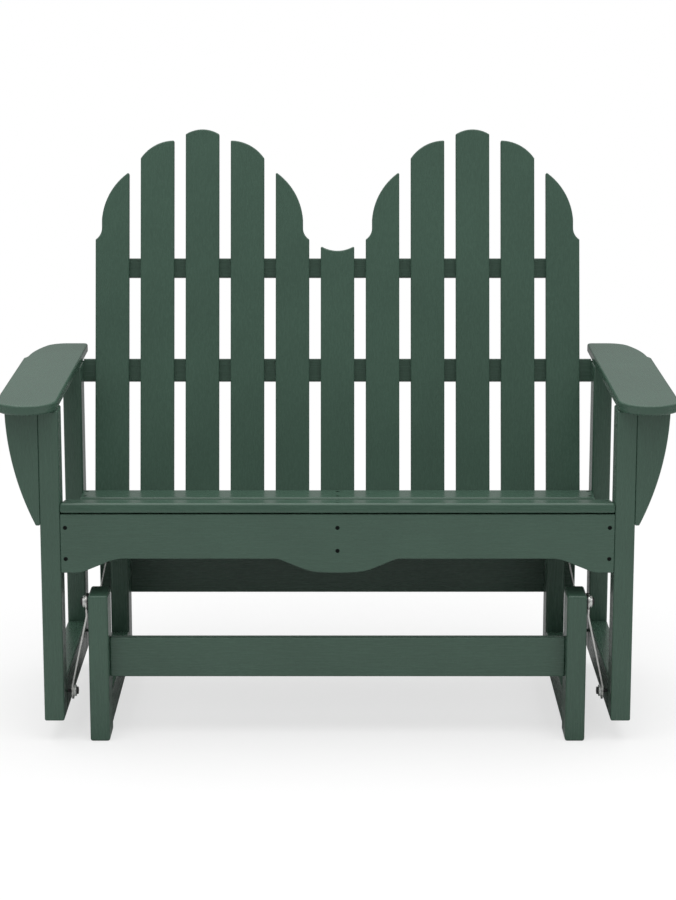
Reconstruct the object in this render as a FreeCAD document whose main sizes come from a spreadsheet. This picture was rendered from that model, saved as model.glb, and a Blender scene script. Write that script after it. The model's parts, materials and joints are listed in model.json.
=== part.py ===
import FreeCAD, Part
import math
import os
import re
import Sketcher
from FreeCAD import Placement, Rotation, Vector

# Glider bench: a seat with a slatted double-arched back hangs on four steel links
# inside a low four-post base. X runs across the bench, -Y is the front, Z is up, and
# the origin lies on the floor under the middle of the whole bench. Millimetres.

# Driving dimensions. The seat sets the size of the base, which follows it at named
# distances. Drops are measured down from the part that they name or belong to.
SIZES = {
    # timber sections
    "beam_thick": 38,
    "beam_deep": 63.5,
    "post_deep": 76,
    "board_thick": 19,
    "post_round": 5,
    "beam_round": 3.5,
    "board_round": 2.5,
    # main sizes
    "seat_width": 1127.5,
    "seat_height": 472,
    "arm_height": 649.5,
    # seat slats, front to rear, with their falls in degrees
    "seat_slat_depth": 70,
    "seat_slat_gap": 6.3,
    "seat_round": 5,
    "fall_1": 8,
    "fall_2": 15.5,
    "fall_3": 16.5,
    "fall_4": 13,
    "fall_5": 7,
    "fall_6": 0,
    "rear_slat_step": 2.85,
    # stringers below the seat slats
    "stringer_front_drop": 127,
    "stringer_rear_drop": 172,
    # apron below the front slat, with its arches between a middle and two end lobes
    "arch_drop": 109,
    "lobe_depth": 27.5,
    "lobe_lip_depth": 4.2,
    "lobe_turn_depth": 17,
    "end_turn_depth": 21.5,
    "lobe_bow": 1.5,
    "lobe_flat": 38.7,
    "lobe_turn": 72.5,
    "lobe_lip": 103,
    "lobe_edge": 117,
    "end_flat": 30.75,
    "end_turn": 51.75,
    "end_lip": 93.75,
    "end_edge": 127.75,
    "lobe_side_radius": 110,
    "lobe_lip_radius": 36,
    "end_side_radius": 55,
    "end_lip_radius": 86,
    # base, and the clearances between it and the seat
    "side_room": 49.3,
    "post_drop": 181.7,
    "base_rail_lift": 14,
    "stretcher_height": 77.6,
    "stretcher_lift": 120.5,
    "stretcher_setback": 32,
    "plank_height": 140,
    "plank_drop": 8.6,
    "plank_overhang": 28.5,
    # links and pivots
    "pivot_drop": 19.3,
    "pivot_setback": 31.75,
    "low_pivot_lift": 75.6,
    "front_pivot_inset": 9.43,
    "rear_pivot_inset": 22.2,
    "rear_hang_in": 24.1,
    "seat_rail_cover": 34.6,
    "seat_rail_height": 69,
    "link_thick": 3,
    "link_width": 24,
    "link_standoff": 3.7,
    "low_standoff": 9.25,
    "eye_radius": 16.5,
    "upper_bend": 26.5,
    "lower_bend": 16,
    "bearing_radius": 11,
    "bearing_length": 8,
    "bolt_radius": 2.5,
    "running_fit": 0.05,
    "press_fit": 0.05,
    "open_pivot_gap": 1.9,
    "side_gap": 0.3,
    "bolt_head_radius": 6.5,
    "bolt_head_depth": 8,
    "bolt_tip": 0.6,
    "nut_radius": 7.5,
    "nut_length": 3.6,
    "washer_radius": 16,
    "sleeve_radius": 3.2,
    # back, measured up its slats from the level of the seat, with its lean in degrees
    "lean": 13,
    "back_gap": 4.5,
    "back_drop": 1.4,
    "back_margin": 24.9,
    "back_slat_width": 69.5,
    "tail_length": 60,
    "crest_rise": 747,
    "crest_bow": 10,
    "shoulder_high_drop": 23.1,
    "shoulder_low_drop": 60.2,
    "side_high_drop": 88.3,
    "side_waist_drop": 187,
    "side_neck_drop": 204.5,
    "side_low_drop": 228.3,
    "side_inset": 13,
    "side_radius": 131.7,
    "cove_radius": 28,
    "valley_drop": 241.8,
    "valley_bow": 10,
    "upper_rail_drop": 24.2,
    "upper_rail_height": 40,
    "upper_rail_inset": 11.75,
    "lower_rail_height": 43,
    "arm_notch": 3.7,
    "arm_notch_gap": 0.5,
    "foot_rail_inset": 6,
    "foot_rail_height": 50,
    # arms
    "arm_reach": 45.4,
    "arm_length": 684,
    "arm_width": 116,
    "arm_inset": 1.25,
    "arm_round": 4.5,
    "arm_shoulder": 174.6,
    "arm_waist": 145.4,
    "arm_waist_inset": 6.7,
    "arm_hip": 34,
    "arm_hip_inset": 29,
    "arm_hip_run": 45.3,
    "arm_waist_radius": 61.6,
    "arm_side_radius": 381,
    "arm_corner_radius": 47,
    "arm_heel_radius": 9,
    "bracket_drop": 221.5,
    "bracket_foot": 8,
    "bracket_head": 62,
    "bracket_radius": 540,
    # screws
    "screw_radius": 2.2,
    "screw_head_radius": 4.0,
    "screw_head_depth": 3,
    "screw_grip": 14,
    "screw_cover": 7,
    "screw_margin": 15,
    "screw_fit": 0.1,
    "screw_recess": 1.2,
    "apron_screw_drop": 48,
    "apron_screw_rise": 16,
    "frame_screw_rise": 25,
    "frame_screw_pitch": 30,
    "bracket_screw_drop": 30,
}

SEAT_SLATS = 6
BACK_SIDE_SLATS = 5
ARCH_CENTRE = 3

# Points along a screw or bolt at which the pieces that it passes through are sought
AXIS_SPOTS = 18
TOUCH = 0.01

# Places worked out from the sizes. Heights are above the floor, and depths are from the
# front faces of the front legs.
PLACES = {
    "leg_outer": "seat_width/2",
    "leg_inner": "leg_outer - beam_thick",
    "post_outer": "leg_inner - side_room",
    "post_inner": "post_outer - beam_thick",
    "post_height": "seat_height - post_drop",
    "pivot_height": "post_height - pivot_drop",
    "plank_lift": "post_height - plank_drop - plank_height",
    "link_length": "pivot_height - low_pivot_lift",
    "leg_lift": "low_pivot_lift - seat_rail_cover",
    "seat_pitch": "seat_slat_depth + seat_slat_gap",
    "seat_end": f"{SEAT_SLATS - 1}*seat_pitch + seat_slat_depth*cos(fall_{SEAT_SLATS})",
    "slats_front": "level_1 - board_thick/cos(fall_1) - board_thick*tan(fall_1)",
    "last_underside": f"level_{SEAT_SLATS} - board_thick*cos(fall_{SEAT_SLATS})",
    "stringer_tail": f"last_underside - seat_slat_depth*sin(fall_{SEAT_SLATS})",
    "stringer_front": "seat_height - stringer_front_drop",
    "stringer_rear": "seat_height - stringer_rear_drop",
    "stringer_slope": "(stringer_front - stringer_rear)/(leg_back - board_thick)",
    "cut_level": "stringer_front + stringer_slope*(board_thick - back_y + back_z*tan(lean))",
    "cut_z": "cut_level/(1 + stringer_slope*tan(lean))",
    "cut_y": "back_y + (cut_z - back_z)*tan(lean)",
    "arch_height": "seat_height - arch_drop",
    "lobe_radius": "(lobe_flat^2 + lobe_bow^2)/(2*lobe_bow)",
    "back_y": "seat_end + back_gap",
    "back_z": f"level_{SEAT_SLATS} - back_drop",
    "back_pitch": f"(2*leg_inner - 2*back_margin - back_slat_width)/{2 * BACK_SIDE_SLATS}",
    "crest_y": "back_y + crest_rise*sin(lean) + board_thick*cos(lean)",
    "crest_radius": "(back_slat_width^2/4 + crest_bow^2)/(2*crest_bow)",
    "shoulder_fall": "shoulder_low_drop - shoulder_high_drop",
    "shoulder_radius": "(back_slat_width^2 + shoulder_fall^2)/(2*shoulder_fall)",
    "valley_rise": "crest_rise - valley_drop",
    "valley_radius": "(back_slat_width^2/4 + valley_bow^2)/(2*valley_bow)",
    "upper_rail_rise": "valley_rise - upper_rail_drop - upper_rail_height",
    "upper_rail_half": f"{BACK_SIDE_SLATS}*back_pitch + back_slat_width/2 - upper_rail_inset",
    "foot_rail_rise": "foot_rail_inset - tail_length",
    "lower_rail_top": "(arm_height - back_z + board_thick*sin(lean))/cos(lean)",
    "lower_rail_rise": "lower_rail_top - lower_rail_height",
    "leg_back": "back_y + lower_rail_rise*sin(lean) + board_thick*cos(lean)",
    "rear_leg": "leg_back - beam_deep",
    "front_pivot": "pivot_setback",
    "front_hang_in": "front_pivot + front_pivot_inset",
    "rear_pivot": "leg_back - rear_pivot_inset + rear_hang_in",
    "rear_post": "rear_pivot - pivot_setback",
    "base_depth": "rear_post + post_deep",
    "front_low_height": "pivot_height - sqrt(link_length^2 - front_hang_in^2)",
    "rear_low_height": "pivot_height - sqrt(link_length^2 - rear_hang_in^2)",
    "front_hang": "asin(front_hang_in/link_length)",
    "rear_hang": "asin(rear_hang_in/link_length)",
    "link_shift": "side_room - low_standoff - link_thick - link_standoff",
    "eye_rise": "sqrt(eye_radius^2 - link_width^2/4)",
    "front": "(arm_reach - crest_y)/2",
    "level_1": "seat_height",
}
for count in range(2, SEAT_SLATS + 1):
    PLACES[f"level_{count}"] = f"level_{count - 1} - seat_pitch*tan(fall_{count - 1})"
PLACES[f"level_{SEAT_SLATS}"] += " + rear_slat_step"

doc = FreeCAD.newDocument("GliderBench")
sheet = doc.addObject("Spreadsheet::Sheet", "Sizes")
for row, (alias, number) in enumerate(SIZES.items(), start=1):
    sheet.set(f"A{row}", alias.replace("_", " "))
    sheet.set(f"B{row}", str(number))
    sheet.setAlias(f"B{row}", alias)
doc.recompute()

pieces = {}
blanks = []
fasteners = []


def words(text):
    """The same formula with every size and place spelled out as cells of the sheet."""
    def spell(match):
        word = match.group(0)
        if word in SIZES:
            return f"Sizes.{word}"
        if word in PLACES:
            return f"({words(PLACES[word])})"
        return word
    return re.sub(r"[a-z][a-z_0-9]*", spell, text)


def value(text):
    result = sheet.evalExpression(words(text))
    return float(getattr(result, "Value", result))


def bind(thing, path, text):
    thing.setExpression(path, words(text))


def place(thing, across, deep, high, tilt=None):
    """Puts a piece at its corner; tilt leans its top to the rear, in degrees."""
    if tilt:
        thing.Placement = Placement(Vector(), Rotation(Vector(-1, 0, 0), value(tilt)))
        bind(thing, "Placement.Rotation.Angle", tilt)
    bind(thing, "Placement.Base.x", across)
    bind(thing, "Placement.Base.y", f"front + {deep}")
    bind(thing, "Placement.Base.z", high)


def place_on_back(thing, across, behind, rise):
    """Puts a piece on the leaning back, behind the front plane of its slats."""
    deep = f"back_y + ({rise})*sin(lean) + ({behind})*cos(lean)"
    high = f"back_z + ({rise})*cos(lean) - ({behind})*sin(lean)"
    place(thing, across, deep, high, "lean")


def new_body(name):
    body = doc.addObject("PartDesign::Body", name)
    body.Label = name
    return body


def new_sketch(body, role, name):
    plane = next(item for item in body.Origin.OriginFeatures if item.Role == role)
    sketch = body.newObject("Sketcher::SketchObject", name)
    sketch.AttachmentSupport = [(plane, "")]
    sketch.MapMode = "FlatFace"
    return sketch


def arc_between(start, end, radius, side):
    """An arc whose centre lies to the left or the right of the way from start to end."""
    middle = (start + end) / 2
    chord = end - start
    reach = math.sqrt(max(radius**2 - (chord.Length / 2) ** 2, 0))
    normal = Vector(-chord.y, chord.x, 0).normalize()
    centre = middle + normal * (reach if side == "left" else -reach)
    first, last = (start, end) if side == "left" else (end, start)
    turn = [math.atan2(spot.y - centre.y, spot.x - centre.x) for spot in (first, last)]
    return Part.ArcOfCircle(Part.Circle(centre, Vector(0, 0, 1), radius), *turn)


def trace(sketch, corners):
    """Draws a closed outline. A corner is (across, up) and starts a straight stretch,
    or (across, up, radius, side) and starts an arc with its centre on that side."""
    spots = [Vector(value(corner[0]), value(corner[1]), 0) for corner in corners]
    base = sketch.GeometryCount
    ends = []
    for index, corner in enumerate(corners):
        start, end = spots[index], spots[(index + 1) % len(spots)]
        if len(corner) == 2:
            sketch.addGeometry(Part.LineSegment(start, end), False)
        else:
            sketch.addGeometry(arc_between(start, end, value(corner[2]), corner[3]), False)
        ends.append((2, 1) if len(corner) == 4 and corner[3] == "right" else (1, 2))
    for index, corner in enumerate(corners):
        here, after = base + index, base + (index + 1) % len(corners)
        following = ends[(index + 1) % len(corners)][0]
        sketch.addConstraint(Sketcher.Constraint("Coincident", here, ends[index][1], after, following))
        for kind, text, number in (("DistanceX", corner[0], spots[index].x),
                                   ("DistanceY", corner[1], spots[index].y)):
            fixed = Sketcher.Constraint(kind, -1, 1, here, ends[index][0], number)
            bind(sketch, f"Constraints[{sketch.addConstraint(fixed)}]", text)
        if len(corner) == 4:
            fixed = Sketcher.Constraint("Radius", here, value(corner[2]))
            bind(sketch, f"Constraints[{sketch.addConstraint(fixed)}]", corner[2])


def ring(sketch, across, up, radius):
    """Draws a full circle in a sketch."""
    centre = Vector(value(across), value(up), 0)
    index = sketch.addGeometry(Part.Circle(centre, Vector(0, 0, 1), value(radius)), False)
    for kind, text in (("DistanceX", across), ("DistanceY", up)):
        fixed = Sketcher.Constraint(kind, -1, 1, index, 3, value(text))
        bind(sketch, f"Constraints[{sketch.addConstraint(fixed)}]", text)
    fixed = Sketcher.Constraint("Radius", index, value(radius))
    bind(sketch, f"Constraints[{sketch.addConstraint(fixed)}]", radius)


def pad(body, sketch, thick, backwards=False, centred=False):
    feature = body.newObject("PartDesign::Pad", f"{body.Name}_pad")
    feature.Profile = sketch
    bind(feature, "Length", thick)
    feature.Reversed = backwards
    feature.Midplane = centred
    sketch.Visibility = False
    return feature


def ease_edges(body, feature, radius, wall):
    """Rounds every edge, by no more than a third of the wall."""
    fillet = body.newObject("PartDesign::Fillet", f"{body.Name}_round")
    fillet.Base = (feature, ["Face1"])
    fillet.UseAllEdges = True
    bind(fillet, "Radius", f"min({radius}; ({wall})/3)")


def beam(name, wide, deep, high, radius="beam_round", wall="beam_thick"):
    """A straight piece of timber with rounded edges, standing on its lower corner."""
    body = new_body(name)
    sketch = new_sketch(body, "XY_Plane", f"{name}_section")
    trace(sketch, [("0", "0"), (wide, "0"), (wide, deep), ("0", deep)])
    ease_edges(body, pad(body, sketch, high), radius, wall)
    return body


def plate(name, role, corners, thick, radius):
    """A board cut to an outline, with rounded edges."""
    body = new_body(name)
    sketch = new_sketch(body, role, f"{name}_outline")
    trace(sketch, corners)
    ease_edges(body, pad(body, sketch, thick, backwards=role == "XZ_Plane"), radius, thick)
    return body


def keep(name, thing):
    """Takes an object as the finished piece of that name."""
    thing.Label = name
    pieces[name] = thing


def mirror(name, source):
    """The left-hand twin of a right-hand piece."""
    twin = doc.addObject("Part::Mirroring", name)
    twin.Source = source
    twin.Normal = Vector(1, 0, 0)
    keep(name, twin)


def spot(across, deep, high):
    return Vector(value(across), value(f"front + {deep}"), value(high))


def add_fastener(group, start, heading, sizes):
    """Notes a screw or bolt, whose head starts at start and whose shank runs along
    heading, with the hole that it takes."""
    fastener = fastener_solid(start, heading, sizes, 0)
    hole = fastener_solid(start, heading, sizes, value("screw_fit"))
    axis_spots = [start + heading * (sizes[3] * (step + 0.5) / AXIS_SPOTS) for step in range(AXIS_SPOTS)]
    fasteners.append((group, fastener, hole, axis_spots))


def both_sides(start, heading):
    yield start, heading
    yield Vector(-start.x, start.y, start.z), Vector(-heading.x, heading.y, heading.z)


def screw_sizes(length):
    return [value(text) for text in ("screw_head_radius", "screw_head_depth", "screw_radius", length)]


def fastener_solid(start, heading, sizes, growth):
    """Head and shank in one; growth widens both to make the hole for them."""
    head_radius, head_depth, radius, length = sizes
    head = Part.makeCylinder(head_radius + growth, head_depth, start, heading)
    shank = Part.makeCylinder(radius + growth, length + growth, start, heading)
    if growth:
        mouth = Part.makeCylinder(head_radius + growth, head_depth, start - heading * head_depth, heading)
        return head.fuse([shank, mouth]).removeSplitter()
    return head.fuse(shank).removeSplitter()


def drill(name, body, twin=None):
    """Notes a piece that takes the holes of the screws and bolts that meet it, and the
    name of its left-hand twin."""
    blanks.append((name, body, twin))


def meets(hole, axis_spots, shape):
    return hole.BoundBox.intersect(shape.BoundBox) and any(
        shape.isInside(point, TOUCH, False) for point in axis_spots)


def finish_blanks():
    """Cuts the holes, and makes the twins."""
    doc.recompute()
    for name, body, twin in blanks:
        holes = [hole for _, _, hole, axis_spots in fasteners if meets(hole, axis_spots, body.Shape)]
        piece = body
        if holes:
            bores = doc.addObject("Part::Feature", f"{name}_bores")
            bores.Shape = Part.makeCompound(holes)
            piece = doc.addObject("Part::Cut", f"{name}_drilled")
            piece.Base = body
            piece.Tool = bores
            body.Label = f"{name}_blank"
        keep(name, piece)
        if twin:
            mirror(twin, piece)


def fastener_group(name):
    group = doc.addObject("Part::Feature", name)
    group.Shape = Part.makeCompound([solid for owner, solid, *_ in fasteners if owner == name])
    keep(name, group)


# Screws

RECESS = value("screw_recess")
STRINGER_LINES = ("leg_inner - board_thick/2", "0")


def lines_across(text):
    """A line across the bench and its twin on the other side, or the middle line once."""
    return (1, -1) if value(text) else (1,)


def seat_slat_frame(number):
    """Front top edge, run to the rear and downward direction of a seat slat."""
    fall = math.radians(value(f"fall_{number}"))
    edge = spot("0", f"{number - 1}*seat_pitch", f"level_{number}")
    return edge, Vector(0, math.cos(fall), -math.sin(fall)), Vector(0, -math.sin(fall), -math.cos(fall))


def plan_seat_slat_screws():
    for number in range(1, SEAT_SLATS + 1):
        edge, run, down = seat_slat_frame(number)
        for line in STRINGER_LINES:
            for side in lines_across(line):
                for along in ("screw_margin", "seat_slat_depth - screw_margin"):
                    start = edge + run * value(along) + down * RECESS
                    start.x = side * value(line)
                    add_fastener("seat_slat_screws", start, down, screw_sizes("board_thick + screw_grip"))


def plan_apron_screws():
    rows = {"leg_inner - board_thick/2": "arch_height", "0": "arch_height + apron_screw_rise"}
    for line, low in rows.items():
        for height in ("seat_height - apron_screw_drop", low):
            start = spot(line, "0", height) + Vector(0, RECESS, 0)
            for side in lines_across(line):
                add_fastener("apron_screws", Vector(side * start.x, start.y, start.z), Vector(0, 1, 0),
                             screw_sizes("board_thick + screw_grip"))


# Rise of the lower edge, height, thickness and half length of each back rail
BACK_RAILS = {
    "back_rail_upper": ("upper_rail_rise", "upper_rail_height", "board_thick", "upper_rail_half"),
    "back_rail_lower": ("lower_rail_rise", "lower_rail_height", "beam_thick", "leg_outer"),
    "back_rail_foot": ("foot_rail_rise", "foot_rail_height", "beam_thick", "leg_inner - board_thick"),
}


def back_spot(across, behind, rise):
    return spot(across, f"back_y + ({rise})*sin(lean) + ({behind})*cos(lean)",
                f"back_z + ({rise})*cos(lean) - ({behind})*sin(lean)")


def plan_back_screws():
    """One screw from behind through each rail into each slat, and into the rear legs."""
    lean = math.radians(value("lean"))
    forward = Vector(0, -math.cos(lean), math.sin(lean))
    for rise, height, thick, _ in BACK_RAILS.values():
        for number in range(-BACK_SIDE_SLATS, BACK_SIDE_SLATS + 1):
            start = back_spot(f"{number}*back_pitch", f"board_thick + {thick}", f"{rise} + {height}/2")
            add_fastener("back_slat_screws", start + forward * RECESS, forward,
                         screw_sizes(f"{thick} + board_thick - screw_cover"))
    rise, height, thick, _ = BACK_RAILS["back_rail_lower"]
    start = back_spot("leg_outer - beam_thick/2", f"board_thick + {thick}", f"{rise} + {height}/4")
    for end, heading in both_sides(start + forward * RECESS, forward):
        add_fastener("frame_screws", end, heading, screw_sizes(f"{thick} + 2*screw_grip"))


def plan_frame_screws():
    """Screws through the outer stringers into the legs, and through the front legs into
    the arm brackets."""
    for deep, low in (("beam_deep/2", "stringer_front"), ("leg_back - beam_deep/2", "stringer_rear")):
        for step in range(2):
            height = f"{low} + frame_screw_rise + {step}*frame_screw_pitch"
            start = spot("leg_inner - board_thick", deep, height) + Vector(RECESS, 0, 0)
            for end, heading in both_sides(start, Vector(1, 0, 0)):
                add_fastener("frame_screws", end, heading, screw_sizes("board_thick + screw_grip"))
    for drop in ("bracket_screw_drop", "bracket_drop/2"):
        start = spot("leg_inner", "board_thick/2", f"arm_height - {drop}") + Vector(RECESS, 0, 0)
        for end, heading in both_sides(start, Vector(1, 0, 0)):
            add_fastener("frame_screws", end, heading, screw_sizes("beam_thick + screw_grip"))


def plan_base_screws():
    """Screws through the posts into the stretcher, and through the plank into the posts."""
    for share in ("1/4", "3/4"):
        start = spot("post_outer", "stretcher_setback + board_thick/2",
                     f"stretcher_lift + {share}*stretcher_height") - Vector(RECESS, 0, 0)
        for end, heading in both_sides(start, Vector(-1, 0, 0)):
            add_fastener("base_frame_screws", end, heading, screw_sizes("beam_thick + 2*screw_grip"))
    for share in ("1/5", "4/5"):
        start = spot("post_inner + beam_thick/2", "base_depth + board_thick",
                     f"plank_lift + {share}*plank_height") - Vector(0, RECESS, 0)
        for end, heading in both_sides(start, Vector(0, -1, 0)):
            add_fastener("base_frame_screws", end, heading, screw_sizes("board_thick + 2*screw_grip"))


def pivots():
    """Depth of the upper pivots, and depth and height of the lower ones, front and rear."""
    yield "front_pivot", "front_pivot + front_hang_in", "front_low_height"
    yield "rear_pivot", "rear_pivot - rear_hang_in", "rear_low_height"


NUT_STACK = "bearing_length + side_gap + nut_length + bolt_tip"


def plan_pivot_bolts():
    """Upper bolts run outward from the posts, lower bolts inward from the seat rails."""
    head = [value("bolt_head_radius"), value("bolt_head_depth"), value("bolt_radius")]
    upper_length = value(f"beam_thick + link_standoff + {NUT_STACK}")
    lower_length = value(f"beam_thick + low_standoff + {NUT_STACK}")
    for upper, lower, low_height in pivots():
        for end, heading in both_sides(spot("post_inner", upper, "pivot_height"), Vector(1, 0, 0)):
            add_fastener("upper_pivot_bolts", end, heading, head + [upper_length])
        for end, heading in both_sides(spot("leg_outer", lower, low_height), Vector(-1, 0, 0)):
            add_fastener("lower_pivot_bolts", end, heading, head + [lower_length])


# Base

def make_base():
    for end, deep in (("front", "0"), ("rear", "rear_post")):
        post = beam(f"base_post_{end}_right", "beam_thick", "post_deep", "post_height", "post_round")
        place(post, "post_inner", deep, "0")
        drill(f"base_post_{end}_right", post, f"base_post_{end}_left")
    rail = beam("base_side_rail_right", "beam_thick", "rear_post - post_deep", "beam_deep")
    place(rail, "post_inner", "post_deep", "base_rail_lift")
    drill("base_side_rail_right", rail, "base_side_rail_left")
    stretcher = beam("base_front_stretcher", "2*(post_inner)", "board_thick", "stretcher_height",
                     "board_round", "board_thick")
    place(stretcher, "-(post_inner)", "stretcher_setback", "stretcher_lift")
    drill("base_front_stretcher", stretcher)
    plank = beam("base_rear_board", "2*(post_outer + plank_overhang)", "board_thick", "plank_height",
                 "board_round", "board_thick")
    place(plank, "-(post_outer + plank_overhang)", "base_depth", "plank_lift")
    drill("base_rear_board", plank)
    fastener_group("base_frame_screws")


# Links

def tube(start, heading, length, outer, inner):
    """A plain round sleeve, ring or washer."""
    return Part.makeCylinder(outer, length, start, heading).cut(
        Part.makeCylinder(inner, length, start, heading))


def hexagon(start, heading, length, radius, inner):
    """A six-sided nut with its bore, its corners at the radius."""
    turns = [math.radians(60 * step) for step in range(7)]
    corners = [start + Vector(0, radius * math.cos(turn), radius * math.sin(turn)) for turn in turns]
    blank = Part.Face(Part.makePolygon(corners)).extrude(heading * length)
    return blank.cut(Part.makeCylinder(inner, length, start, heading))


def make_link(end, upper, hang, low_bore):
    """A steel strap with two bends and round eyes; it hangs from its upper eye and
    carries a bearing ring in each eye."""
    profile = new_body(f"link_{end}_profile")
    sketch = new_sketch(profile, "XZ_Plane", f"link_{end}_bends")
    foot = "-(link_length - lower_bend)"
    bottom = "-(link_length + eye_radius)"
    trace(sketch, [("0", "eye_radius"), ("0", "-upper_bend"), ("link_shift", foot), ("link_shift", bottom),
                   ("link_shift + link_thick", bottom), ("link_shift + link_thick", foot),
                   ("link_thick", "-upper_bend"), ("link_thick", "eye_radius")])
    pad(profile, sketch, "3*eye_radius", centred=True)

    outline = new_body(f"link_{end}_outline")
    sketch = new_sketch(outline, "YZ_Plane", f"link_{end}_eyes")
    half, neck = "link_width/2", "-(link_length - eye_rise)"
    trace(sketch, [(half, "-eye_rise", "eye_radius", "left"), ("0", "eye_radius", "eye_radius", "left"),
                   (f"-{half}", "-eye_rise"), (f"-{half}", neck, "eye_radius", "left"),
                   ("0", bottom, "eye_radius", "left"), (half, neck)])
    ring(sketch, "0", "0", "bearing_radius + press_fit")
    ring(sketch, "0", "-link_length", "bearing_radius + press_fit")
    pad(outline, sketch, "link_shift + link_thick")

    strap = doc.addObject("Part::Common", f"link_{end}_strap")
    strap.Base = profile
    strap.Tool = outline
    tilt = f"-({hang})" if end == "front" else hang
    place(strap, "post_outer + link_standoff", upper, "pivot_height", tilt)
    keep(f"link_{end}_right", strap)
    mirror(f"link_{end}_left", strap)

    rings = []
    low_start = "link_shift + link_thick - bearing_length"
    for eye, across, high, bore in (("upper", "0", "0", "bolt_radius + running_fit"),
                                    ("lower", low_start, "-link_length", low_bore)):
        solids = []
        for radius in ("bearing_radius", bore):
            solid = doc.addObject("Part::Cylinder", f"bearing_{end}_{eye}_{len(solids)}")
            solid.Placement = Placement(Vector(), Rotation(Vector(0, 1, 0), 90))
            bind(solid, "Radius", radius)
            bind(solid, "Height", "bearing_length")
            bind(solid, "Placement.Base.x", across)
            bind(solid, "Placement.Base.z", high)
            solids.append(solid)
        sleeve = doc.addObject("Part::Cut", f"bearing_{end}_{eye}")
        sleeve.Base, sleeve.Tool = solids
        rings.append(sleeve)
    pair = doc.addObject("Part::Compound", f"bearings_{end}")
    pair.Links = rings
    place(pair, "post_outer + link_standoff", upper, "pivot_height", tilt)
    keep(f"bearings_{end}_right", pair)
    mirror(f"bearings_{end}_left", pair)


def make_links():
    make_link("front", "front_pivot", "front_hang", "bolt_radius + running_fit")
    make_link("rear", "rear_pivot", "rear_hang", "bolt_radius + open_pivot_gap")


def make_pivot_hardware():
    """Nuts, washers and sleeves on the pivot bolts."""
    bore = value("bolt_radius + screw_fit")
    gap = value("side_gap")
    nut = (value("nut_length"), value("nut_radius"), bore)
    upper_parts, nuts, sleeves = [], [], []
    for upper, lower, low_height in pivots():
        for side in (1, -1):
            out = Vector(side, 0, 0)
            start = spot(f"{side}*(post_outer)", upper, "pivot_height")
            washer = value("link_standoff") - gap
            upper_parts.append(tube(start, out, washer, value("washer_radius"), bore))
            reach = value("link_standoff + bearing_length") + gap
            upper_parts.append(hexagon(start + out * reach, out, *nut))
            start = spot(f"{side}*(leg_inner)", lower, low_height)
            sleeves.append(tube(start, -out, value("low_standoff") - gap, value("sleeve_radius"), bore))
            reach = value("low_standoff + bearing_length") + gap
            nuts.append(hexagon(start - out * reach, -out, *nut))
    for name, solids in (("upper_pivot_nuts", upper_parts), ("lower_pivot_nuts", nuts),
                         ("lower_pivot_spacers", sleeves)):
        group = doc.addObject("Part::Feature", name)
        group.Shape = Part.makeCompound(solids)
        keep(name, group)
    fastener_group("upper_pivot_bolts")
    fastener_group("lower_pivot_bolts")


# Seat frame

def make_legs():
    for end, deep in (("front", "0"), ("rear", "rear_leg")):
        leg = beam(f"seat_leg_{end}_right", "beam_thick", "beam_deep", "arm_height - leg_lift")
        place(leg, "leg_inner", deep, "leg_lift")
        drill(f"seat_leg_{end}_right", leg, f"seat_leg_{end}_left")
    rail = beam("seat_side_rail_right", "beam_thick", "rear_leg - beam_deep", "seat_rail_height")
    place(rail, "leg_inner", "beam_deep", "leg_lift")
    drill("seat_side_rail_right", rail, "seat_side_rail_left")


def underside(number, along):
    """A point on the underside of a seat slat, as depth and height."""
    return (f"{number - 1}*seat_pitch - board_thick*sin(fall_{number}) + ({along})*cos(fall_{number})",
            f"level_{number} - board_thick*cos(fall_{number}) - ({along})*sin(fall_{number})")


def make_stringers():
    """Stringers follow the underside of every slat. The middle one stops at the back."""
    top = [("board_thick", "slats_front"), underside(1, "seat_slat_depth")]
    for number in range(2, SEAT_SLATS + 1):
        top += [underside(number, "0"), underside(number, "seat_slat_depth")]
    front = [("board_thick", "stringer_front")]
    side_end = [("leg_back", "stringer_tail"), ("leg_back", "stringer_rear")]
    middle_end = [("back_y + (stringer_tail - back_z)*tan(lean)", "stringer_tail"), ("cut_y", "cut_z")]
    for name, end, across in (("seat_stringer_right", side_end, "leg_inner - board_thick"),
                              ("seat_stringer_middle", middle_end, "-board_thick/2")):
        body = new_body(name)
        sketch = new_sketch(body, "YZ_Plane", f"{name}_outline")
        trace(sketch, (top + end + front)[::-1])
        pad(body, sketch, "board_thick")
        place(body, across, "0", "0")
        drill(name, body, "seat_stringer_left" if end is side_end else None)


def make_apron():
    """A board whose lower edge is two shallow arches between a middle and two end lobes."""
    right = [
        ("lobe_flat", "lobe_depth - lobe_bow", "lobe_side_radius", "left"),
        ("lobe_turn", "lobe_turn_depth"),
        ("lobe_lip", "lobe_lip_depth", "lobe_lip_radius", "right"),
        ("lobe_edge", "0"),
        ("leg_inner - end_edge", "0", "end_lip_radius", "right"),
        ("leg_inner - end_lip", "lobe_lip_depth"),
        ("leg_inner - end_turn", "end_turn_depth", "end_side_radius", "left"),
        ("leg_inner - end_flat", "lobe_depth"),
    ]
    low = "arch_height - lobe_depth"
    wide = "2*(leg_inner)"
    corners = [(f"leg_inner + {across}", f"arch_height - ({deep})", *bend) for across, deep, *bend in right]
    corners += [(wide, low), (wide, "slats_front"), ("0", "slats_front"), ("0", low)]
    for index in range(len(right) - 1, -1, -1):
        across, deep, *_ = right[index]
        bend = right[index - 1][2:] if index else ("lobe_radius", "left")
        corners.append((f"leg_inner - ({across})", f"arch_height - ({deep})", *bend))
    body = plate("seat_apron", "XZ_Plane", corners, "board_thick", "board_round")
    place(body, "-(leg_inner)", "0", "0")
    drill("seat_apron", body)


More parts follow.
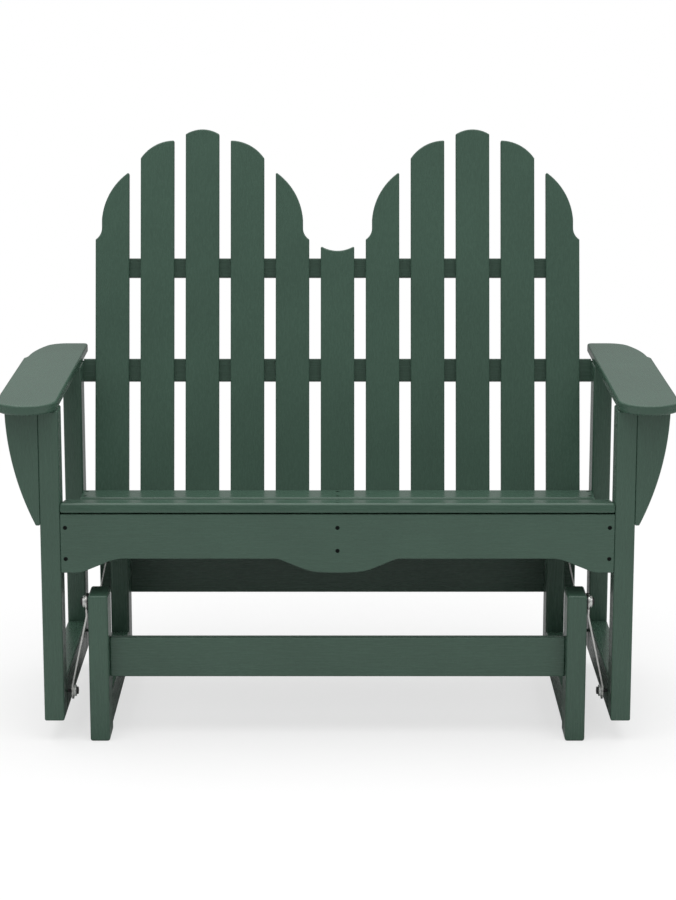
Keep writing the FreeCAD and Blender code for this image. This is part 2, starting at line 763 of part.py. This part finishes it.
def make_seat_slats():
    for number in range(1, SEAT_SLATS + 1):
        name = f"seat_slat_{number}"
        body = new_body(name)
        sketch = new_sketch(body, "YZ_Plane", f"{name}_section")
        trace(sketch, [("0", "-board_thick"), ("seat_slat_depth", "-board_thick"),
                       ("seat_slat_depth", "0"), ("0", "0")])
        ease_edges(body, pad(body, sketch, "2*(leg_inner)"), "seat_round", "board_thick")
        fall = f"fall_{number}"
        place(body, "-(leg_inner)", f"{number - 1}*seat_pitch", f"level_{number}",
              fall if value(fall) else None)
        drill(name, body)


# Back

def slat_top(number):
    """Top of a back slat as (across, rise) corners, from its right side to its left;
    the arches peak at the third slat on each side of the middle."""
    offset = abs(number) - ARCH_CENTRE
    wide = "back_slat_width"
    if number == 0:
        return [(wide, "valley_rise", "valley_radius", "right"), ("0", "valley_rise")]
    if offset == 0:
        return [(wide, "crest_rise - crest_bow", "crest_radius", "left"), ("0", "crest_rise - crest_bow")]
    outward = (offset > 0) == (number > 0)
    if abs(offset) == 1:
        low, high = "crest_rise - shoulder_low_drop", "crest_rise - shoulder_high_drop"
        ends = (low, high) if outward else (high, low)
        return [(wide, ends[0], "shoulder_radius", "left"), ("0", ends[1])]
    neck = f"{wide} - side_inset" if outward else "side_inset"
    tall, short = ("0", wide) if outward else (wide, "0")
    high, low = "crest_rise - side_high_drop", "crest_rise - side_low_drop"
    waist, throat = "crest_rise - side_waist_drop", "crest_rise - side_neck_drop"
    if outward:
        return [(short, low, "cove_radius", "right"), (neck, throat),
                (neck, waist, "side_radius", "left"), (tall, high)]
    return [(tall, high, "side_radius", "left"), (neck, waist),
            (neck, throat, "cove_radius", "right"), (short, low)]


def make_back_slats():
    for number in range(-BACK_SIDE_SLATS, BACK_SIDE_SLATS + 1):
        name = f"back_slat_{number + BACK_SIDE_SLATS + 1:02d}"
        top = [(corner[0], f"{corner[1]} + tail_length", *corner[2:]) for corner in slat_top(number)]
        corners = [("0", "0"), ("back_slat_width", "0")] + top
        body = plate(name, "XZ_Plane", corners, "board_thick", "board_round")
        place_on_back(body, f"{number}*back_pitch - back_slat_width/2", "0", "-tail_length")
        drill(name, body)


def notched_for_arms(rail):
    """The lower back rail with its ends cut down to the undersides of the arms."""
    long = "beam_thick - arm_inset + arm_notch_gap"
    blocks = []
    for side, across in (("right", f"leg_outer - ({long})"), ("left", "-(leg_outer + board_round)")):
        block = doc.addObject("Part::Box", f"arm_notch_{side}")
        bind(block, "Length", f"{long} + board_round")
        bind(block, "Width", "beam_thick + 2*board_round")
        bind(block, "Height", "arm_notch + board_round")
        place_on_back(block, across, "board_thick - board_round", "lower_rail_rise + lower_rail_height")
        blocks.append(block)
    notches = doc.addObject("Part::Compound", "arm_notches")
    notches.Links = blocks
    notched = doc.addObject("Part::Cut", "back_rail_lower_notched")
    notched.Base = rail
    notched.Tool = notches
    return notched


def make_back_rails():
    for name, (rise, height, thick, half) in BACK_RAILS.items():
        lower = name == "back_rail_lower"
        body = beam(name, f"2*({half})", thick, f"{height} + arm_notch" if lower else height,
                    "board_round", thick)
        place_on_back(body, f"-({half})", "board_thick", rise)
        drill(name, notched_for_arms(body) if lower else body)


# Arms

def make_arms():
    """Broad flat arms with a round nose and a waist near the rear, on curved brackets."""
    far = "arm_width"
    nose = "arm_width/2"
    corners = [
        ("0", nose, nose, "left"),
        (nose, "0", nose, "left"),
        (far, nose),
        (far, "arm_length - arm_shoulder", "arm_waist_radius", "right"),
        (f"{far} - arm_waist_inset", "arm_length - arm_waist", "arm_side_radius", "left"),
        (f"{far} - arm_hip_inset", "arm_length - arm_hip", "arm_corner_radius", "left"),
        (f"{far} - arm_hip_inset - arm_hip_run", "arm_length"),
        ("arm_heel_radius", "arm_length", "arm_heel_radius", "left"),
        ("0", "arm_length - arm_heel_radius"),
    ]
    arm = plate("arm_right", "XY_Plane", corners, "board_thick", "arm_round")
    place(arm, "leg_inner + arm_inset", "-arm_reach", "arm_height")
    drill("arm_right", arm, "arm_left")
    corners = [("0", "0"), ("bracket_foot", "0", "bracket_radius", "left"),
               ("bracket_head", "bracket_drop"), ("0", "bracket_drop")]
    bracket = plate("arm_bracket_right", "XZ_Plane", corners, "board_thick", "board_round")
    place(bracket, "leg_outer", "0", "arm_height - bracket_drop")
    drill("arm_bracket_right", bracket, "arm_bracket_left")


plan_seat_slat_screws()
plan_apron_screws()
plan_back_screws()
plan_frame_screws()
plan_base_screws()
plan_pivot_bolts()

make_base()
make_links()
make_pivot_hardware()
make_legs()
make_stringers()
make_apron()
make_seat_slats()
make_back_slats()
make_back_rails()
make_arms()
finish_blanks()
for group_name in ("seat_slat_screws", "apron_screws", "back_slat_screws", "frame_screws"):
    fastener_group(group_name)

doc.recompute()
for item in doc.Objects:
    if "Invalid" in item.State or "Error" in item.State:
        raise RuntimeError(f"{item.Label} failed: {item.State}")
for name, piece in pieces.items():
    if piece.Shape.isNull() or not piece.Shape.isValid():
        raise RuntimeError(f"{name} has no valid shape")

os.makedirs("parts", exist_ok=True)
for name, piece in pieces.items():
    piece.Shape.exportStep(f"parts/{name}.step")
print(len(pieces), "pieces")
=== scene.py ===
import json
import math
import random

import bpy
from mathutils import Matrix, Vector

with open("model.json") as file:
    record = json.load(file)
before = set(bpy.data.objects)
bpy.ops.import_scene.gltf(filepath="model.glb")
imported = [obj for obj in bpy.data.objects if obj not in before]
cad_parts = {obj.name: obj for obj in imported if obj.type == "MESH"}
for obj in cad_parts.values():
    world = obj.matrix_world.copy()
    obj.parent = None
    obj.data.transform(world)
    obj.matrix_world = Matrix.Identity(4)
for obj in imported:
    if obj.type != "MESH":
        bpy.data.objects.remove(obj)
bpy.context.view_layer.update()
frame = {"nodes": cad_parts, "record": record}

# Lengths are in metres and colours are linear.

# Camera of the photograph, fitted to its level and plumb edges
CAMERA_PLACE = (0.001, -5.1286, 1.6193)
CAMERA_PITCH = math.radians(12.2)
CAMERA_REACH = 200
LENS_MM = 105
SENSOR_MM = 36

LUMBER_GREEN = (0.054, 0.108, 0.077)
FLECK_GREEN = (0.105, 0.160, 0.130)
# Screw heads: their own dark green coat, darkened nearly to black as painted shade of the recesses they sit
# in
SCREW_COAT_AND_RECESS_SHADE = (0.001, 0.003, 0.0022)
STEEL_GREY = (0.62, 0.62, 0.60)
BEARING_GREY = (0.86, 0.87, 0.85)
BLACK_COAT = (0.012, 0.012, 0.013)
WHITE = (1.0, 1.0, 1.0, 1.0)

# Lumber: the skin's gloss, how its noises are sized (scale, detail, roughness), and how
# much each one shows
SKIN_ROUGHNESS = 0.27
SKIN_ROUGHNESS_SWING = 0.05
SKIN_GLOSS = 0.42
SAWN_ROUGHNESS = 0.12
SAWN_FACING = (0.90, 0.97)
GRAIN_STRETCH = 0.07
GRAIN_SHIFT = 5
BOARD_TONES = (0.97, 1.03)
STREAKS = (260.0, 4.0, 0.65)
CLOUDS = (7.0, 3.0, 0.5)
PORES = (900.0, 2.0, 0.6)
FLECKS = (420.0, 1.0, 0.5)
FLECK_LEVELS = (0.70, 0.78)
FLECK_SHARE = 0.2
LUMBER_SHADES = ((0.30, 0.90), (0.70, 1.10))
PORE_RELIEF = 0.6
STREAK_RELIEF = 0.8

# Metal: scratches and blotches
SCRATCH_STRETCH = (1.0, 1.0, 0.06)
SCRATCH_SHIFT = (0.3, 0.7, 0.1)
SCRATCHES = (400.0, 3.0, 0.6)
BLOTCHES = (70.0, 2.0, 0.5)
METAL_SHADES = ((0.25, 0.82), (0.75, 1.12))
METAL_ROUGHNESS_SWING = 0.08

# The studio is lit from above: the sky's strength falls from the zenith to the horizon,
# with a pale wall to the rear, and a broad lamp hangs overhead
SKY_STRENGTH = 1.30
REAR_WALL_STRENGTH = 0.08
LAMP_WATTS = 86
LAMP_PLACE = (0, -0.4, 4.2)
LAMP_TARGET = (0, 0, 0.3)
LAMP_SIZE = (5.0, 5.0)

# The light that the floor gives back falls from front to rear between two depths
FLOOR_HALF = 60
FLOOR_FRONT_SHADE = 0.68
FLOOR_REAR_SHADE = 0.35
FLOOR_SHADE_DEPTHS = (-0.6, 0.8)
FLOOR_GRAIN = (30.0, 2.0, 0.5)
FLOOR_GRAIN_SHARE = 0.01

# Share of the floor's real shade that the camera sees on the white floor, and the
# distances from the bench between which it fades
FLOOR_SHADOW = 0.35
FLOOR_SHADOW_FADE = (1.0, 3.0)
FLOOR_WHITES = (0.93, 0.95)

# Nodes whose boards run along X or along Y; the others stand upright
ALONG_X = ("base_front_stretcher", "base_rear_board", "seat_apron", "seat_slat_", "back_rail_")
ALONG_Y = ("base_side_rail_", "seat_side_rail_", "seat_stringer_", "arm_left", "arm_right")


def shader_node(tree, kind, **settings):
    """A shader node with its inputs set by name."""
    node = tree.nodes.new(kind)
    for name, setting in settings.items():
        node.inputs[name.replace("_", " ")].default_value = setting
    return node


def new_material(name):
    material = bpy.data.materials.new(name)
    material.use_nodes = True
    tree = material.node_tree
    return material, tree, tree.nodes["Principled BSDF"]


def grain_space(tree, stretch, shift):
    """Object coordinates, and the same squeezed along the grain, so that noise runs
    along the board."""
    where = tree.nodes.new("ShaderNodeTexCoord").outputs["Object"]
    mapping = shader_node(tree, "ShaderNodeMapping", Scale=stretch, Location=shift)
    tree.links.new(where, mapping.inputs["Vector"])
    return where, mapping.outputs["Vector"]


def math_node(tree, operation, first, second=None, third=None):
    """A maths node. An input is a number or another node's output."""
    node = tree.nodes.new("ShaderNodeMath")
    node.operation = operation
    for socket, given in zip(node.inputs, (first, second, third)):
        if isinstance(given, (int, float)):
            socket.default_value = given
        elif given is not None:
            tree.links.new(given, socket)
    return node.outputs[0]


def map_range(tree, source, low, high, to_low, to_high, smooth=False):
    node = shader_node(tree, "ShaderNodeMapRange",
                       From_Min=low, From_Max=high, To_Min=to_low, To_Max=to_high)
    node.interpolation_type = "SMOOTHSTEP" if smooth else "LINEAR"
    tree.links.new(source, node.inputs["Value"])
    return node.outputs["Result"]


def noise(tree, where, size):
    scale, detail, roughness = size
    node = shader_node(tree, "ShaderNodeTexNoise", Scale=scale, Detail=detail, Roughness=roughness)
    tree.links.new(where, node.inputs["Vector"])
    return node.outputs["Fac"]


def shade_ramp(tree, source, colour, shades):
    """A colour in two shades, each given as its place on the source and its brightness."""
    ramp = tree.nodes.new("ShaderNodeValToRGB")
    for element, (place, share) in zip(ramp.color_ramp.elements, shades):
        element.position = place
        element.color = tuple(min(channel * share, 1) for channel in colour) + (1,)
    tree.links.new(source, ramp.inputs["Fac"])
    return ramp.outputs["Color"]


def add_relief(tree, shader, height, strength, distance):
    bump = shader_node(tree, "ShaderNodeBump", Strength=strength, Distance=distance)
    tree.links.new(height, bump.inputs["Height"])
    tree.links.new(bump.outputs["Normal"], shader.inputs["Normal"])


def mix_for_camera(tree, others, camera, output):
    """One shader for the camera's own rays and another for light and reflections."""
    path = tree.nodes.new("ShaderNodeLightPath")
    mix = tree.nodes.new("ShaderNodeMixShader")
    tree.links.new(path.outputs["Is Camera Ray"], mix.inputs["Fac"])
    tree.links.new(others, mix.inputs[1])
    tree.links.new(camera, mix.inputs[2])
    tree.links.new(mix.outputs[0], tree.nodes[output].inputs["Surface"])


def lumber(name, grain_axis, seed):
    """Dark green plastic lumber: a satin skin with fine drawn streaks, a few pale flecks
    and faint clouds, and rougher sawn ends."""
    chance = random.Random(seed)
    shift = tuple(chance.uniform(-GRAIN_SHIFT, GRAIN_SHIFT) for _ in range(3))
    tone = chance.uniform(*BOARD_TONES)
    stretch = [1.0, 1.0, 1.0]
    stretch[grain_axis] = GRAIN_STRETCH
    material, tree, shader = new_material(name)
    links = tree.links
    where, along = grain_space(tree, stretch, shift)

    streaks = noise(tree, along, STREAKS)
    clouds = noise(tree, where, CLOUDS)
    pores = noise(tree, where, PORES)
    flecks = map_range(tree, noise(tree, along, FLECKS), *FLECK_LEVELS, 0.0, 1.0, smooth=True)

    grain = math_node(tree, "MULTIPLY_ADD", streaks, 0.5, math_node(tree, "MULTIPLY", clouds, 0.5))
    board_green = [channel * tone for channel in LUMBER_GREEN]
    fleck_mix = tree.nodes.new("ShaderNodeMix")
    fleck_mix.data_type = "RGBA"
    fleck_mix.inputs["B"].default_value = FLECK_GREEN + (1,)
    links.new(math_node(tree, "MULTIPLY", flecks, FLECK_SHARE), fleck_mix.inputs["Factor"])
    links.new(shade_ramp(tree, grain, board_green, LUMBER_SHADES), fleck_mix.inputs["A"])
    links.new(fleck_mix.outputs["Result"], shader.inputs["Base Color"])

    normal = tree.nodes.new("ShaderNodeNewGeometry")
    facing = tree.nodes.new("ShaderNodeSeparateXYZ")
    links.new(normal.outputs["True Normal"], facing.inputs["Vector"])
    endwise = math_node(tree, "ABSOLUTE", facing.outputs[grain_axis])
    sawn = map_range(tree, endwise, *SAWN_FACING, 0.0, 1.0)
    skin = map_range(tree, streaks, 0.3, 0.7,
                     SKIN_ROUGHNESS - SKIN_ROUGHNESS_SWING, SKIN_ROUGHNESS + SKIN_ROUGHNESS_SWING)
    links.new(math_node(tree, "MULTIPLY_ADD", sawn, SAWN_ROUGHNESS, skin), shader.inputs["Roughness"])
    shader.inputs["Specular IOR Level"].default_value = SKIN_GLOSS

    streak_relief = math_node(tree, "MULTIPLY", streaks, STREAK_RELIEF)
    relief = math_node(tree, "MULTIPLY_ADD", pores, PORE_RELIEF, streak_relief)
    add_relief(tree, shader, relief, strength=0.1, distance=0.0003)
    return material


def metal(name, colour, roughness, metallic, gloss=0.5):
    """Bare or coated metal with fine drawn scratches and slight blotches."""
    material, tree, shader = new_material(name)
    where, along = grain_space(tree, SCRATCH_STRETCH, SCRATCH_SHIFT)
    scratch = noise(tree, along, SCRATCHES)
    blotch = noise(tree, where, BLOTCHES)
    tree.links.new(shade_ramp(tree, blotch, colour, METAL_SHADES), shader.inputs["Base Color"])
    rough = map_range(tree, scratch, 0.0, 1.0,
                      roughness - METAL_ROUGHNESS_SWING, roughness + METAL_ROUGHNESS_SWING)
    tree.links.new(rough, shader.inputs["Roughness"])
    add_relief(tree, shader, scratch, strength=0.15, distance=0.0002)
    shader.inputs["Metallic"].default_value = metallic
    shader.inputs["Specular IOR Level"].default_value = gloss
    return material


def grain_axis_of(node):
    if node.startswith(ALONG_X):
        return 0
    if node.startswith(ALONG_Y):
        return 1
    return 2


def dress(node, material):
    """Gives a CAD node its material."""
    for slot in frame["nodes"][node].material_slots:
        slot.material = material


def dress_all():
    slot_of = {part["node"]: part["material_slot"] for part in frame["record"]["subparts"]}
    shared = {
        "link_steel": metal("link_steel", STEEL_GREY, 0.34, 1.0),
        "bearing_steel": metal("bearing_steel", BEARING_GREY, 0.35, 0.3),
        "black_hardware": metal("black_coat", BLACK_COAT, 0.42, 0.0),
        # The screws' near-black colour is partly their own coat and partly painted shade of their recesses
        "screw_steel": metal("screw_coat_and_recess_shade", SCREW_COAT_AND_RECESS_SHADE, 0.6, 0.0, gloss=0.15),
    }
    for seed, node in enumerate(sorted(frame["nodes"])):
        material = shared.get(slot_of[node])
        dress(node, material or lumber(f"lumber_{node}", grain_axis_of(node), seed))


def make_camera():
    data = bpy.data.cameras.new("camera")
    data.lens = LENS_MM
    data.sensor_fit = "VERTICAL"
    data.sensor_height = SENSOR_MM
    data.clip_end = CAMERA_REACH
    camera = bpy.data.objects.new("camera", data)
    camera.location = CAMERA_PLACE
    camera.rotation_euler = (math.radians(90) - CAMERA_PITCH, 0, 0)
    bpy.context.collection.objects.link(camera)
    bpy.context.scene.camera = camera


def make_lamp():
    data = bpy.data.lights.new("overhead", "AREA")
    data.shape = "RECTANGLE"
    data.size, data.size_y = LAMP_SIZE
    data.energy = LAMP_WATTS
    lamp = bpy.data.objects.new("overhead", data)
    lamp.location = LAMP_PLACE
    heading = Vector(LAMP_TARGET) - Vector(LAMP_PLACE)
    lamp.rotation_euler = heading.to_track_quat("-Z", "Y").to_euler()
    bpy.context.collection.objects.link(lamp)


def make_world():
    """White for the camera. For light and reflections, bright overhead, dark at the
    horizon in front and pale at the rear."""
    world = bpy.data.worlds.new("studio")
    world.use_nodes = True
    tree = world.node_tree
    where = tree.nodes.new("ShaderNodeTexCoord")
    heading = tree.nodes.new("ShaderNodeSeparateXYZ")
    tree.links.new(where.outputs["Generated"], heading.inputs["Vector"])
    rise = math_node(tree, "MAXIMUM", heading.outputs["Z"], 0.0)
    rear = math_node(tree, "MAXIMUM", heading.outputs["Y"], 0.0)
    wall = math_node(tree, "MULTIPLY", rear, REAR_WALL_STRENGTH)
    sky = tree.nodes["Background"]
    sky.inputs["Color"].default_value = WHITE
    tree.links.new(math_node(tree, "MULTIPLY_ADD", rise, SKY_STRENGTH, wall), sky.inputs["Strength"])
    backdrop = shader_node(tree, "ShaderNodeBackground", Color=WHITE, Strength=1.0)
    mix_for_camera(tree, sky.outputs[0], backdrop.outputs[0], "World Output")
    bpy.context.scene.world = world


def make_floor():
    """A floor that the camera sees as white with the bench's soft shadow, fading to plain
    white far from it."""
    half = FLOOR_HALF
    mesh = bpy.data.meshes.new("floor")
    mesh.from_pydata([(-half, -half, 0), (half, -half, 0), (half, half, 0), (-half, half, 0)],
                     [], [(0, 1, 2, 3)])
    floor = bpy.data.objects.new("floor", mesh)
    bpy.context.collection.objects.link(floor)
    material, tree, shader = new_material("floor")
    links = tree.links
    where = tree.nodes.new("ShaderNodeTexCoord").outputs["Object"]
    grain = noise(tree, where, FLOOR_GRAIN)

    spot = tree.nodes.new("ShaderNodeSeparateXYZ")
    links.new(where, spot.inputs["Vector"])
    depth_shade = map_range(tree, spot.outputs["Y"], *FLOOR_SHADE_DEPTHS,
                            FLOOR_FRONT_SHADE, FLOOR_REAR_SHADE, smooth=True)
    bounce = tree.nodes.new("ShaderNodeBsdfDiffuse")
    links.new(math_node(tree, "MULTIPLY_ADD", grain, FLOOR_GRAIN_SHARE, depth_shade), bounce.inputs["Color"])

    links.new(map_range(tree, grain, 0.0, 1.0, *FLOOR_WHITES), shader.inputs["Base Color"])
    shader.inputs["Roughness"].default_value = 0.9
    shader.inputs["Specular IOR Level"].default_value = 0.0
    glow = shader_node(tree, "ShaderNodeEmission", Color=WHITE, Strength=1.0)
    distance = tree.nodes.new("ShaderNodeVectorMath")
    distance.operation = "LENGTH"
    links.new(where, distance.inputs[0])
    fade = map_range(tree, distance.outputs["Value"], *FLOOR_SHADOW_FADE,
                     1 - FLOOR_SHADOW, 1.0, smooth=True)
    seen = tree.nodes.new("ShaderNodeMixShader")
    links.new(fade, seen.inputs["Fac"])
    links.new(shader.outputs[0], seen.inputs[1])
    links.new(glow.outputs[0], seen.inputs[2])
    mix_for_camera(tree, bounce.outputs[0], seen.outputs[0], "Material Output")
    floor.data.materials.append(material)


dress_all()
make_camera()
make_world()
make_floor()
make_lamp()
bpy.context.scene.view_settings.view_transform = "Standard"
